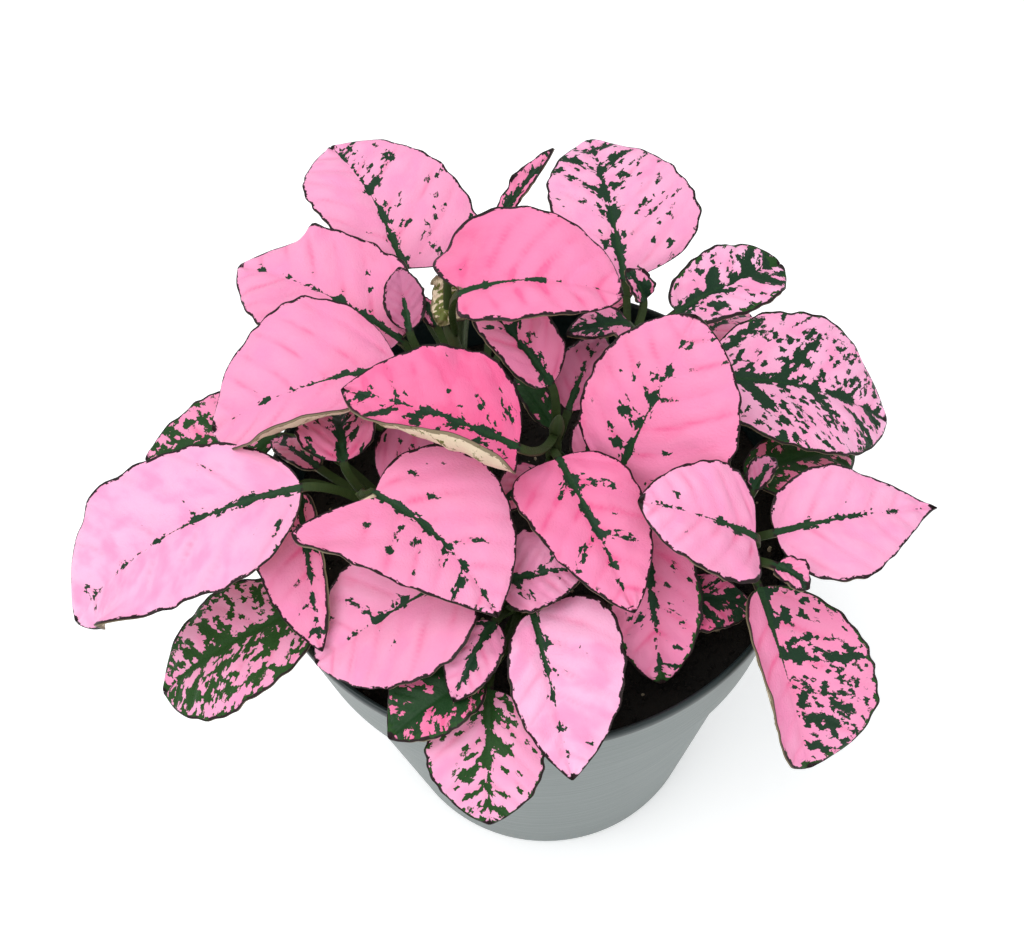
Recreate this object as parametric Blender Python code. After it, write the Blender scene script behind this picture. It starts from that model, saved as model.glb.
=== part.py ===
"""A polka dot plant in a plastic nursery pot: pot, soil, six shoots and 49 leaves, each its own solid."""

import math

import bmesh
import bpy
from mathutils import Matrix, Vector

MM = 0.001
GAP = 0.3

# Pot, in millimetres. The rim band stands out from the tapering body.
POT_HEIGHT = 100
RIM_RADIUS = 54
BAND_HEIGHT = 24
BAND_FOOT_RADIUS = 50.7
BAND_STEP = 1.6
BASE_RADIUS = 37
WALL = 1.3
POT_SIDES = 56
DRAIN_HOLES = 6
DRAIN_HOLE_RADIUS = 3.5
DRAIN_CIRCLE_RADIUS = 25

# Soil, in millimetres.
SOIL_LEVEL = 87
SOIL_MOUND = 3
SOIL_SIDES = 40

# Stems and leaf blades, in millimetres.
STEM_RADIUS = 1.5
STEM_DEPTH = 22
STEM_POINTS = 12
STEM_SIDES = 10
PETIOLE_HALF_WIDTH = 0.9
PETIOLE_CLEARANCE = 1
PETIOLE_SPRING = 0.3
TIP_HALF_WIDTH = 0.45
LEAF_THICKNESS = 0.8
PETIOLE_ROWS = 2
BLADE_ROWS = 10
SECTION_STEPS = 8
ACROSS = (-1.0, -0.74, -0.4, 0.0, 0.4, 0.74, 1.0)

# Each shoot: its root on the soil and its growing tip, in millimetres.
SHOOTS = {
    "stem_left": ((-19, -8), (-31, -14, 125)),
    "stem_centre": ((3, -2), (6, -4, 129)),
    "stem_right_rear": ((13, 12), (24, 20, 124)),
    "stem_left_rear": ((-8, 10), (-13, 15, 138)),
    "stem_right": ((23, -14), (33, -21, 109)),
    "stem_front": ((-2, -20), (-6, -31, 109)),
}

# Each leaf, in millimetres and degrees. "on" and "at" are its shoot and the height where it leaves it, and
# its blade runs from base to tip. "arch" bows the blade up and "sway" to its left, "roll" turns it about its
# length, "cup" lifts both halves and "curl" rolls their margins up. "half" is how wide each half is, "belly"
# where along it is widest, and "lobe" how far it reaches back past the base. Pairs are for the left and the
# right half, seen from the base with the upper face up.
LEAVES = {
    "back_left_fan": dict(
        on="stem_left_rear", at=120, base=(-21, 39, 125), tip=(-35, 71, 130), half=(12, 18), arch=4, sway=1,
        belly=(0.6, 0.15), lobe=(0, 6)),
    "back_right_fan": dict(
        on="stem_right_rear", at=118, base=(22, 30, 126), tip=(19, 66, 130), half=(12, 17), arch=4,
        belly=(0.5, 0.3)),
    "back_edge": dict(
        on="stem_left_rear", at=126, base=(-1, 52, 124), tip=(11, 60, 134), half=(3, 2), arch=0, cup=25),
    "right_back": dict(
        on="stem_right_rear", at=114, base=(31, 22, 124), tip=(53, 32, 124), half=(8, 8), roll=8,
        belly=(0.55, 0.6), lobe=(3, 3)),
    "right_broad": dict(
        on="stem_right_rear", at=110, base=(34, 7, 122), tip=(70, 3, 108), half=(16, 15), arch=5, roll=6,
        belly=(0.5, 0.5)),
    "centre_right": dict(
        on="stem_centre", at=117, base=(15, -14, 122), tip=(30, 1, 147), half=(12, 17), roll=18,
        belly=(0.5, 0.4), lobe=(0, 7)),
    "under_right": dict(
        on="stem_right", at=103, base=(40, -9, 112), tip=(63, -2, 106), half=(6, 9)),
    "right_pointed": dict(
        on="stem_right", at=107, base=(42, -25, 117), tip=(73, -20, 112), half=(10, 12), arch=3, roll=14,
        lobe=(3, 2)),
    "right_inward": dict(
        on="stem_right", at=104, base=(37, -29, 123), tip=(17, -26, 133), half=(10, 10), roll=-14,
        lobe=(8, 0)),
    "right_bud": dict(
        on="stem_right", at=98, base=(40, -34, 121), tip=(45, -38, 119), half=(3, 3), arch=1, cup=25),
    "right_young": dict(
        on="stem_right", at=108, base=(39, -18, 121), tip=(44, -12, 121), half=(3, 2), arch=1, cup=25),
    "right_hanging": dict(
        on="stem_right", at=92, base=(39, -31, 108), tip=(46, -56, 84), half=(16, 8), curl=(-10, 90),
        belly=(0.62, 0.5)),
    "right_inner": dict(
        on="stem_centre", at=97, base=(22, -27, 101), tip=(39, -31, 101), half=(5, 8)),
    "front_right": dict(
        on="stem_centre", at=104, base=(19, -18, 114), tip=(20, -43, 98), half=(9, 8), belly=(0.45, 0.5)),
    "centre_diagonal": dict(
        on="stem_centre", at=118, base=(5, -12.5, 128), tip=(15, -40, 120), half=(10, 11), lobe=(2, 2),
        belly=(0.4, 0.2)),
    "centre_pale": dict(
        on="stem_front", at=108, base=(-7, -29, 115), tip=(8, -30, 119), half=(8, 7), roll=12),
    "front_main": dict(
        on="stem_front", at=103, base=(-2, -35, 114), tip=(2, -62, 104), half=(14, 7), lobe=(7, 0),
        belly=(0.35, 0.45)),
    "front_low": dict(
        on="stem_front", at=99, base=(-11, -44, 104), tip=(-13, -64, 92), half=(10, 11), belly=(0.5, 0.45)),
    "front_shade": dict(
        on="stem_front", at=101, base=(-12, -42, 107), tip=(-29, -51, 103), half=(7, 10)),
    "front_young": dict(
        on="stem_front", at=105, base=(-9, -35, 112), tip=(-17, -48, 109), half=(5, 5), belly=(0.45, 0.45)),
    "front_left": dict(
        on="stem_left", at=109, base=(-14, -28, 118), tip=(-42, -35, 103), half=(14, 12), roll=-12,
        belly=(0.4, 0.45), lobe=(5, 0)),
    "left_heart": dict(
        on="stem_left", at=120, base=(-27, -19, 132), tip=(-8, -39, 121), half=(15, 15), sway=-2,
        lobe=(5, 14), belly=(0.42, 0.16)),
    "left_behind": dict(
        on="stem_left", at=117, base=(-26, -11, 122), tip=(-10, 1, 120), half=(9, 9)),
    "left_narrow": dict(
        on="stem_left", at=110, base=(-42, -10, 121), tip=(-40, -35, 107), half=(4, 9), curl=(60, 0), cup=20),
    "left_green": dict(
        on="stem_left", at=98, base=(-41, -23, 104), tip=(-73, -32, 91), half=(14, 11), arch=3,
        belly=(0.55, 0.5)),
    "left_large": dict(
        on="stem_left", at=121, base=(-40, -15, 130), tip=(-86.5, -22.5, 104), half=(14, 15), arch=5, sway=3,
        roll=-14, belly=(0.33, 0.6)),
    "left_far": dict(
        on="stem_left", at=106, base=(-49, 12, 110), tip=(-76, 12, 106), half=(8, 11)),
    "back_left_fold": dict(
        on="stem_left_rear", at=112, base=(-22, 18, 128), tip=(-53, 39, 130), half=(15, 14), arch=4),
    "left_upper": dict(
        on="stem_left_rear", at=119, base=(-22, 6, 135), tip=(-57, 2, 126), half=(15, 17), arch=4,
        curl=(70, -10), roll=-8),
    "centre_left": dict(
        on="stem_centre", at=124, base=(-2, -15, 136), tip=(-31, -4, 142), half=(11, 13), arch=3,
        curl=(120, 0), roll=-12, lobe=(5, 0)),
    "top_centre": dict(
        on="stem_left_rear", at=133, base=(-9.5, 10, 148), tip=(18, 4, 150), half=(13.5, 8), arch=5, roll=12,
        lobe=(22, 4)),
    "dark_fold": dict(
        on="stem_centre", at=125, base=(5, 1, 132), tip=(-8, 17, 140), half=(7, 7), cup=30),
    "centre_rear": dict(
        on="stem_centre", at=119, base=(8, 1, 124), tip=(16, 16, 126), half=(5, 6), cup=20),
    "centre_lobe": dict(
        on="stem_centre", at=110, base=(10, -7, 118), tip=(15, 1, 124), half=(4, 3), cup=20, arch=1),
    "centre_green": dict(
        on="stem_centre", at=113, base=(5, 2, 118), tip=(-1, 14, 120), half=(3, 3), arch=1, cup=20),
    "rear_spotted": dict(
        on="stem_right_rear", at=119, base=(21, 16, 129), tip=(9, 13, 131), half=(4, 4), cup=15, arch=1),
    "rear_bud": dict(
        on="stem_right_rear", at=120, base=(25, 24, 126), tip=(22, 28, 131), half=(3, 3), cup=30, arch=1),
    "dusky_rear": dict(
        on="stem_left_rear", at=116, base=(-20, 18, 131), tip=(-21, 30, 135), half=(4, 4), arch=1),
    "rear_young": dict(
        on="stem_left_rear", at=124, base=(-15, 20, 129), tip=(-18, 25, 132), half=(2, 2), arch=1),
    "rear_new": dict(
        on="stem_left_rear", at=128, base=(-10, 19, 133), tip=(-5, 21, 136), half=(2, 2), arch=1),
    "left_rosette": dict(
        on="stem_left", at=121, base=(-33, -8, 127), tip=(-34, 5, 125), half=(8, 7), cup=20),
    "centre_bud": dict(
        on="stem_centre", at=116, base=(2, -9, 120), tip=(-7, -18, 121), half=(5, 4), cup=20, arch=1),
    "left_slip": dict(
        on="stem_left", at=117, base=(-39, -3, 119), tip=(-49, 8, 114), half=(3, 3), cup=15, arch=1),
    "rear_low": dict(
        on="stem_left_rear", at=105, base=(-4, 38, 112), tip=(2, 64, 98), half=(10, 10), arch=4),
    "rear_low_left": dict(
        on="stem_left_rear", at=102, base=(-24, 34, 110), tip=(-38, 56, 98), half=(10, 9), arch=4),
    "rear_low_right": dict(
        on="stem_right_rear", at=104, base=(19, 36, 110), tip=(23, 62, 96), half=(9, 7), arch=4),
    "rear_inner": dict(
        on="stem_left_rear", at=115, base=(2, 34, 120), tip=(6, 54, 113), half=(8, 8), arch=3),
    "rear_low_side": dict(
        on="stem_right_rear", at=101, base=(33, 26, 107), tip=(52, 42, 97), half=(8, 8), arch=3),
    "left_low_rear": dict(
        on="stem_left_rear", at=99, base=(-36, 20, 105), tip=(-58, 35, 97), half=(9, 8), arch=3),
}

LEAF_PINK = (0.80, 0.24, 0.42)
LEAF_GREEN = (0.10, 0.20, 0.07)
MOSTLY_GREEN = ("left_green", "under_right", "right_hanging", "left_far", "right_broad", "front_low")


def clear_scene():
    for old in list(bpy.data.objects):
        bpy.data.objects.remove(old, do_unlink=True)


def material(name, colour, roughness):
    made = bpy.data.materials.new(name)
    made.use_nodes = True
    shader = made.node_tree.nodes["Principled BSDF"]
    shader.inputs["Base Color"].default_value = (*colour, 1)
    shader.inputs["Roughness"].default_value = roughness
    shader.inputs["Metallic"].default_value = 0
    made.diffuse_color = (*colour, 1)
    return made


def add_object(name, data, look):
    made = bpy.data.objects.new(name, data)
    data.materials.append(look)
    bpy.context.collection.objects.link(made)
    return made


def mesh_object(name, bm, look):
    """Turns a bmesh built in millimetres into an object, facing out."""
    bmesh.ops.recalc_face_normals(bm, faces=bm.faces)
    bmesh.ops.scale(bm, vec=(MM, MM, MM), verts=bm.verts)
    mesh = bpy.data.meshes.new(name)
    bm.to_mesh(mesh)
    bm.free()
    return add_object(name, mesh, look)


def turned(profile, sides):
    """A closed outline of (radius, height) points turned about Z, as a bmesh in millimetres."""
    bm = bmesh.new()
    corners = [bm.verts.new((radius, 0, height)) for radius, height in profile]
    sides_of_outline = zip(corners, corners[1:] + corners[:1])
    edges = [bm.edges.new(pair) for pair in sides_of_outline if pair[0].co.x or pair[1].co.x]
    bmesh.ops.spin(bm, geom=corners + edges, angle=math.tau, steps=sides, axis=(0, 0, 1), cent=(0, 0, 0))
    bmesh.ops.remove_doubles(bm, verts=bm.verts, dist=0.001)
    return bm


def cut(target, cutter):
    """Takes the cutter's shape out of the target."""
    hole = target.modifiers.new("cut_" + cutter.name, "BOOLEAN")
    hole.operation = "DIFFERENCE"
    hole.solver = "EXACT"
    hole.object = cutter
    cutter.hide_render = True
    cutter.display_type = "WIRE"


def wall_radius(height):
    """The outer radius of the pot's body below the band."""
    foot = POT_HEIGHT - BAND_HEIGHT
    return BASE_RADIUS + (BAND_FOOT_RADIUS - BAND_STEP - BASE_RADIUS) * height / foot


def pot():
    foot = POT_HEIGHT - BAND_HEIGHT
    outside = [
        (BASE_RADIUS - 2, 0),
        (BASE_RADIUS - 0.6, 0.6),
        (wall_radius(2), 2),
        (wall_radius(foot), foot),
        (BAND_FOOT_RADIUS, foot + 0.6),
        (RIM_RADIUS, POT_HEIGHT - 1),
        (RIM_RADIUS - 0.3, POT_HEIGHT - 0.2),
        (RIM_RADIUS - WALL / 2, POT_HEIGHT),
    ]
    inside = [
        (RIM_RADIUS - WALL, POT_HEIGHT - 0.4),
        (BAND_FOOT_RADIUS - WALL, foot + 0.8),
        (wall_radius(foot - 1) - WALL, foot - 1),
        (wall_radius(WALL) - WALL, WALL + 1),
        (wall_radius(WALL) - WALL - 1.5, WALL),
        (0, WALL),
    ]
    bm = turned([(0, 0)] + outside + inside, POT_SIDES)
    shell = mesh_object("pot", bm, material("grey_plastic", (0.27, 0.33, 0.31), 0.5))
    bm = bmesh.new()
    for number in range(DRAIN_HOLES):
        around = math.tau * number / DRAIN_HOLES
        spot = Matrix.Rotation(around, 3, "Z") @ Vector((DRAIN_CIRCLE_RADIUS, 0, WALL / 2))
        bmesh.ops.create_cone(
            bm, cap_ends=True, segments=12, radius1=DRAIN_HOLE_RADIUS, radius2=DRAIN_HOLE_RADIUS,
            depth=WALL * 4, matrix=Matrix.Translation(spot),
        )
    drill = mesh_object("drain_cutter", bm, material("cutter", (1, 1, 1), 1))
    cut(shell, drill)


def stem_line(name):
    """Points along a shoot, from inside the soil to its tip: upright at first, and then leaning out."""
    (root_x, root_y), tip = SHOOTS[name.removesuffix("_bore")]
    low = Vector((root_x, root_y, SOIL_LEVEL - STEM_DEPTH))
    bend = Vector((root_x, root_y, (SOIL_LEVEL + tip[2]) / 2))
    points = []
    for step in range(STEM_POINTS):
        t = step / (STEM_POINTS - 1)
        points.append(low * (1 - t) ** 2 + bend * (2 * t * (1 - t)) + Vector(tip) * t ** 2)
    return points


def stem_at(name, height):
    """Where a shoot passes a height."""
    line = stem_line(name)
    for low, high in zip(line, line[1:]):
        if low.z <= height <= high.z:
            return low.lerp(high, (height - low.z) / (high.z - low.z))
    return line[-1]


def stem(name, radius, overrun, look):
    """A round shoot along its line; overrun sinks its foot that much deeper."""
    line = stem_line(name)
    line[0] = line[0] - Vector((0, 0, overrun))
    bm = bmesh.new()
    rings = []
    for place in line:
        spot = Matrix.Translation(place)
        ring = bmesh.ops.create_circle(bm, segments=STEM_SIDES, radius=radius, matrix=spot)
        rings.append(ring["verts"])
    for low, high in zip(rings, rings[1:]):
        for here in range(STEM_SIDES):
            after = (here + 1) % STEM_SIDES
            bm.faces.new((low[here], low[after], high[after], high[here]))
    bm.faces.new(rings[0])
    bm.faces.new(rings[-1])
    return mesh_object(name, bm, look)


def soil():
    foot = POT_HEIGHT - BAND_HEIGHT
    slip = WALL + GAP
    side = BAND_FOOT_RADIUS + (RIM_RADIUS - BAND_FOOT_RADIUS) * (SOIL_LEVEL - foot) / BAND_HEIGHT - slip - 0.3
    profile = [
        (0, WALL + GAP),
        (wall_radius(WALL) - slip - 2, WALL + GAP),
        (wall_radius(foot - 1) - slip - 0.2, foot - 1.4),
        (side, SOIL_LEVEL - 0.5),
        (side * 0.86, SOIL_LEVEL + SOIL_MOUND * 0.2),
        (side * 0.5, SOIL_LEVEL + SOIL_MOUND * 0.8),
        (0, SOIL_LEVEL + SOIL_MOUND),
    ]
    look = material("dark_soil", (0.012, 0.010, 0.008), 0.95)
    ground = mesh_object("soil", turned(profile, SOIL_SIDES), look)
    for name in SHOOTS:
        cut(ground, stem(name + "_bore", STEM_RADIUS + GAP, GAP, bpy.data.materials["cutter"]))


def outline(t, belly):
    """A leaf's outline: round at its base, 1 where it is widest, and pointed at its tip."""
    if t < belly:
        return (1 - (1 - t / belly) ** 2.2) ** 0.6
    return 1 - ((t - belly) / (1 - belly)) ** 1.7


def cross_section(half_widths, cup, curl):
    """(sideways, upward, lean) at each column across a leaf, walking out from the midrib both ways."""
    places = []
    for across in ACROSS:
        side = -1 if across < 0 else 1
        half_width = half_widths[across > 0]
        rolled = curl[across > 0]
        out = up = 0.0
        for step in range(SECTION_STEPS):
            t = abs(across) * (step + 0.5) / SECTION_STEPS
            lean = math.radians(cup + rolled * t * t)
            out += math.cos(lean) * abs(across) * half_width / SECTION_STEPS
            up += math.sin(lean) * abs(across) * half_width / SECTION_STEPS
        lean = math.radians(cup + rolled * across * across) if across else 0
        places.append((side * out, up, side * lean))
    return places


def leaf_rows(
    on, at, base, tip, half, arch=2, sway=0, roll=0, cup=10, curl=(-10, -10), belly=(0.4, 0.4), lobe=(0, 0)
):
    """Upper and lower rows of points from the shoot to the leaf's tip, in millimetres."""
    base = Vector(base)
    tip = Vector(tip)
    chord = tip - base
    ahead = chord.normalized()
    level = Vector((0, 0, 1)) - ahead * ahead.z
    facing = Matrix.Rotation(math.radians(roll), 3, ahead) @ level.normalized()
    bow = (facing * arch + ahead.cross(facing) * sway) * 4
    start = stem_at(on, at)
    outward = Vector((base.x - start.x, base.y - start.y, 0)).normalized()
    start += outward * (STEM_RADIUS + GAP + PETIOLE_CLEARANCE)
    knee = base - (chord + bow).normalized() * (base - start).length * PETIOLE_SPRING
    stations = []
    for row in range(PETIOLE_ROWS):
        t = row / PETIOLE_ROWS
        place = start * (1 - t) ** 2 + knee * (2 * t * (1 - t)) + base * t ** 2
        slope = (knee - start) * (1 - t) + (base - knee) * t
        stations.append((place, slope.normalized(), 0, (0, 0)))
    for row in range(BLADE_ROWS + 1):
        t = row / BLADE_ROWS
        place = base + chord * t + bow * t * (1 - t)
        slope = (chord + bow * (1 - 2 * t)).normalized()
        stations.append((place, slope, t, [outline(t, widest) for widest in belly]))
    upper = []
    lower = []
    for place, slope, t, swells in stations:
        normal = (facing - slope * facing.dot(slope)).normalized()
        sideways = slope.cross(normal)
        edge = PETIOLE_HALF_WIDTH + (TIP_HALF_WIDTH - PETIOLE_HALF_WIDTH) * t
        half_widths = [edge + (full - edge) * swell for full, swell in zip(half, swells)]
        curls = [full * swell for full, swell in zip(curl, swells)]
        section = cross_section(half_widths, cup * min(swells), curls)
        top = []
        bottom = []
        for across, (out, up, lean) in zip(ACROSS, section):
            setback = lobe[across > 0] * across ** 2 * swells[across > 0] * (1 - t) ** 2
            point = place + sideways * out + normal * up - slope * setback
            outward = normal * math.cos(lean) - sideways * math.sin(lean)
            top.append(point)
            bottom.append(point - outward * LEAF_THICKNESS)
        upper.append(top)
        lower.append(bottom)
    return upper, lower


def leaf(name, row, look):
    upper, lower = leaf_rows(**row)
    bm = bmesh.new()
    top = [[bm.verts.new(point) for point in points] for points in upper]
    bottom = [[bm.verts.new(point) for point in points] for points in lower]
    last = len(top) - 1
    edge = len(ACROSS) - 1
    for i in range(last):
        for j in range(edge):
            bm.faces.new((top[i][j], top[i + 1][j], top[i + 1][j + 1], top[i][j + 1]))
            bm.faces.new((bottom[i][j], bottom[i][j + 1], bottom[i + 1][j + 1], bottom[i + 1][j]))
        for j in (0, edge):
            bm.faces.new((top[i][j], bottom[i][j], bottom[i + 1][j], top[i + 1][j]))
    for j in range(edge):
        for i in (0, last):
            bm.faces.new((top[i][j], top[i][j + 1], bottom[i][j + 1], bottom[i][j]))
    return mesh_object(name, bm, look)


clear_scene()
pot()
soil()
for shoot_name in SHOOTS:
    stem(shoot_name, STEM_RADIUS, 0, material(shoot_name + "_green", (0.16, 0.22, 0.05), 0.6))
for leaf_name, leaf_row in LEAVES.items():
    leaf_colour = LEAF_GREEN if leaf_name in MOSTLY_GREEN else LEAF_PINK
    leaf(leaf_name, leaf_row, material(leaf_name + "_leaf", leaf_colour, 0.5))
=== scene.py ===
"""A polka dot plant in its nursery pot: the looks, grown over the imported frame."""

import math

import bmesh
import bpy
import numpy as np
from mathutils import Matrix, Vector, noise


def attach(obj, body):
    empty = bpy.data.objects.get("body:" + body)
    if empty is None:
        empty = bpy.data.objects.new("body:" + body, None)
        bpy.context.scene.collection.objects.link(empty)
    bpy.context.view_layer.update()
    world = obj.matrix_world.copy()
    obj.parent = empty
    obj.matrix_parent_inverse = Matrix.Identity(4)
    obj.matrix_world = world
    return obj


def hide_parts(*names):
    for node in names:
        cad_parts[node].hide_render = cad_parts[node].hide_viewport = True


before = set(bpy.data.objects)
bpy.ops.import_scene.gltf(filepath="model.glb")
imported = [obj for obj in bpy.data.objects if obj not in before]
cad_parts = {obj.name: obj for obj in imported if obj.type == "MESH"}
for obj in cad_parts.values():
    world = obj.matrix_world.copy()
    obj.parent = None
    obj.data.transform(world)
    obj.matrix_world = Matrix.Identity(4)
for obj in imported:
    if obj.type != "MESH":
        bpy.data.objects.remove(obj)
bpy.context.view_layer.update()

# Studio. A wide white table under a soft overhead light, with the camera looking
# steeply down from the front, a little rolled, as a hand-held close view is.
MM = 0.001
CAMERA_TARGET = Vector((-3.4, 0, 106.2)) * MM
CAMERA_DISTANCE = 252.4 * MM
CAMERA_DOWN = 55.36
CAMERA_ROLL = -5.3
CAMERA_LENS = 45.7
SKY_COLOUR = (0.97, 0.985, 1, 1)
SKY_STRENGTH = 0.70
TABLE_HALF = 900
TABLE_TOP = -0.2
TABLE_GLOW = 0.30


def node_in(tree, kind, settings=None, inputs=None, out=0):
    """Adds one node: its settings first, then a value or a link on each socket. Returns one output."""
    made = tree.nodes.new(kind)
    for key, value in (settings or {}).items():
        setattr(made, key, value)
    for key, value in (inputs or {}).items():
        socket = made.inputs[key]
        if isinstance(value, Wire):
            tree.links.new(value.socket, socket)
        elif isinstance(value, bpy.types.NodeSocket):
            tree.links.new(value, socket)
        elif socket.type == "RGBA" and len(value) == 3:
            socket.default_value = (*value, 1)
        else:
            socket.default_value = value
    return Wire(tree, made.outputs[out])


class Wire:
    """A number or a vector on its way between nodes, so that shader maths reads as plain maths."""

    def __init__(self, tree, socket):
        self.tree = tree
        self.socket = socket

    def maths(self, operation, first, second):
        return node_in(self.tree, "ShaderNodeMath", {"operation": operation}, {0: first, 1: second})

    def __add__(self, other):
        return self.maths("ADD", self, other)

    def __radd__(self, other):
        return self.maths("ADD", other, self)

    def __sub__(self, other):
        return self.maths("SUBTRACT", self, other)

    def __rsub__(self, other):
        return self.maths("SUBTRACT", other, self)

    def __mul__(self, other):
        return self.maths("MULTIPLY", self, other)

    def most(self, other):
        """Whichever of the two is more."""
        return self.maths("MAXIMUM", self, other)

    def between(self, low, high):
        """0 below low, 1 above high, and a smooth step between them."""
        return node_in(self.tree, "ShaderNodeMapRange", {"interpolation_type": "SMOOTHSTEP"},
                       {"Value": self, "From Min": low, "From Max": high})


class Finish:
    """One procedural material: a shader with its fixed values, and the nodes that vary its sockets."""

    def __init__(self, name, **fixed):
        self.material = bpy.data.materials.new(name)
        self.material.use_nodes = True
        self.tree = self.material.node_tree
        self.shader = self.tree.nodes["Principled BSDF"]
        for key, value in fixed.items():
            self.shader.inputs[key.replace("_", " ")].default_value = value

    def node(self, kind, settings=None, inputs=None, out=0):
        return node_in(self.tree, kind, settings, inputs, out)

    def attribute(self, name):
        """A number written on the mesh's points."""
        return self.node("ShaderNodeAttribute", {"attribute_name": name}, out=2)

    def place(self):
        """The point on the object that is being shaded, in metres."""
        return self.node("ShaderNodeTexCoord", out=3)

    def stretch(self, vector, scale):
        return self.node("ShaderNodeMapping", None, {"Vector": vector, "Scale": scale})

    def noise(self, vector, scale, detail=2, rough=0.5):
        return self.node("ShaderNodeTexNoise", None,
                         {"Vector": vector, "Scale": scale, "Detail": detail, "Roughness": rough})

    def blend(self, amount, first, second):
        """The first colour where the amount is 0, the second where it is 1."""
        return self.node("ShaderNodeMix", {"data_type": "RGBA"}, {0: amount, 6: first, 7: second}, out=2)

    def set(self, **links):
        for key, value in links.items():
            self.tree.links.new(value.socket, self.shader.inputs[key.replace("_", " ")])

    def relief(self, height, strength, depth):
        """Feeds a height to the shader's normal. Depth is in metres."""
        self.set(Normal=self.node("ShaderNodeBump", None,
                                  {"Height": height, "Strength": strength, "Distance": depth}))


def soft_light(name, place, target, size, power):
    """A round area lamp that faces its target. Lengths are in metres."""
    lamp = bpy.data.lights.new(name, "AREA")
    lamp.shape = "DISK"
    lamp.size = size
    lamp.energy = power
    holder = bpy.data.objects.new(name, lamp)
    holder.location = place
    holder.rotation_euler = (Vector(target) - Vector(place)).to_track_quat("-Z", "Y").to_euler()
    bpy.context.collection.objects.link(holder)


def new_object(name, points, faces, look):
    """A smooth mesh object from points in millimetres, at the origin with its place in its mesh."""
    mesh = bpy.data.meshes.new(name)
    mesh.from_pydata([tuple(point) for point in np.asarray(points) * MM], [], faces)
    mesh.materials.append(look)
    mesh.polygons.foreach_set("use_smooth", [True] * len(mesh.polygons))
    made = bpy.data.objects.new(name, mesh)
    bpy.context.collection.objects.link(made)
    return made


camera = bpy.data.objects.new("camera", bpy.data.cameras.new("camera"))
camera.data.lens = CAMERA_LENS
camera.data.clip_start = 0.01
tilt = Matrix.Rotation(math.radians(90 - CAMERA_DOWN), 4, "X")
tilt = tilt @ Matrix.Rotation(math.radians(CAMERA_ROLL), 4, "Z")
stand = CAMERA_TARGET + tilt.to_3x3() @ Vector((0, 0, CAMERA_DISTANCE))
camera.matrix_world = Matrix.Translation(stand) @ tilt
bpy.context.collection.objects.link(camera)
bpy.context.scene.camera = camera

bpy.context.scene.view_settings.view_transform = "Standard"
sky = bpy.data.worlds.new("studio")
sky.use_nodes = True
sky.node_tree.nodes["Background"].inputs["Color"].default_value = SKY_COLOUR
sky.node_tree.nodes["Background"].inputs["Strength"].default_value = SKY_STRENGTH
bpy.context.scene.world = sky
soft_light("overhead", place=(-0.3, -0.15, 0.85), target=(0, 0, 0.1), size=0.8, power=4.4)
soft_light("side_fill", place=(0.6, -0.6, 0.4), target=(0, 0, 0.08), size=0.5, power=1.0)

table = Finish("white_table", Roughness=0.6)
grain = table.noise(table.place(), 9, 3)
table.set(Base_Color=table.blend(grain, (0.93, 0.935, 0.94), (0.97, 0.972, 0.975)))
table.shader.inputs["Emission Color"].default_value = (1, 1, 1, 1)
table.shader.inputs["Emission Strength"].default_value = TABLE_GLOW
table_corners = [(x * TABLE_HALF, y * TABLE_HALF, TABLE_TOP) for x, y in ((-1, -1), (1, -1), (1, 1), (-1, 1))]
floor = new_object("floor", table_corners, [(0, 1, 2, 3)], table.material)

# Pot. Thin grey plastic, vacuum formed in one piece: a tapering body, a deep rim band
# that steps out from it, a dark worn lip, and drain holes round the middle of its floor.
POT_HEIGHT = 100
RIM_RADIUS = 54
BAND_HEIGHT = 24
BAND_FOOT_RADIUS = 50.7
BAND_STEP = 1.6
BASE_RADIUS = 37
BAND_FOOT = POT_HEIGHT - BAND_HEIGHT
WALL = 1.3
FLOOR_THICKNESS = WALL + 0.4
POT_SIDES = 176
DRAIN_HOLES = 6
DRAIN_HOLE_RADIUS = 3.5
DRAIN_CIRCLE_RADIUS = 25
DRILL_SIDES = 40
DRILL_LENGTH = WALL * 6
DARK_FROM_DEPTH = 0.62
WORN_LIP_HEIGHT = 1.7


def body_radius(height):
    """The outer radius of the tapering body."""
    return BASE_RADIUS + (BAND_FOOT_RADIUS - BAND_STEP - BASE_RADIUS) * height / BAND_FOOT


def band_radius(height):
    """The outer radius of the rim band."""
    return BAND_FOOT_RADIUS + (RIM_RADIUS - BAND_FOOT_RADIUS) * (height - BAND_FOOT) / BAND_HEIGHT


def turned(name, profile, sides, look):
    """Turns (radius, height) points that start and end on the axis into a closed shell."""
    around = np.arange(sides) * math.tau / sides
    points = [(0, 0, profile[0][1]), (0, 0, profile[-1][1])]
    rings = []
    for radius, height in profile[1:-1]:
        rings.append(range(len(points), len(points) + sides))
        points += [(radius * math.cos(a), radius * math.sin(a), height) for a in around]
    faces = []
    for here in range(sides):
        after = (here + 1) % sides
        faces.append((0, rings[0][after], rings[0][here]))
        faces.append((1, rings[-1][here], rings[-1][after]))
        for low, high in zip(rings, rings[1:]):
            faces.append((low[here], low[after], high[after], high[here]))
    return new_object(name, points, faces, look)


def bent(start, corner, end, steps=6):
    """Points round a corner, on a smooth curve from start to end."""
    curve = []
    for step in range(steps + 1):
        t = step / steps
        curve.append(tuple(
            a * (1 - t) ** 2 + b * 2 * t * (1 - t) + c * t ** 2 for a, b, c in zip(start, corner, end)))
    return curve


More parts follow.
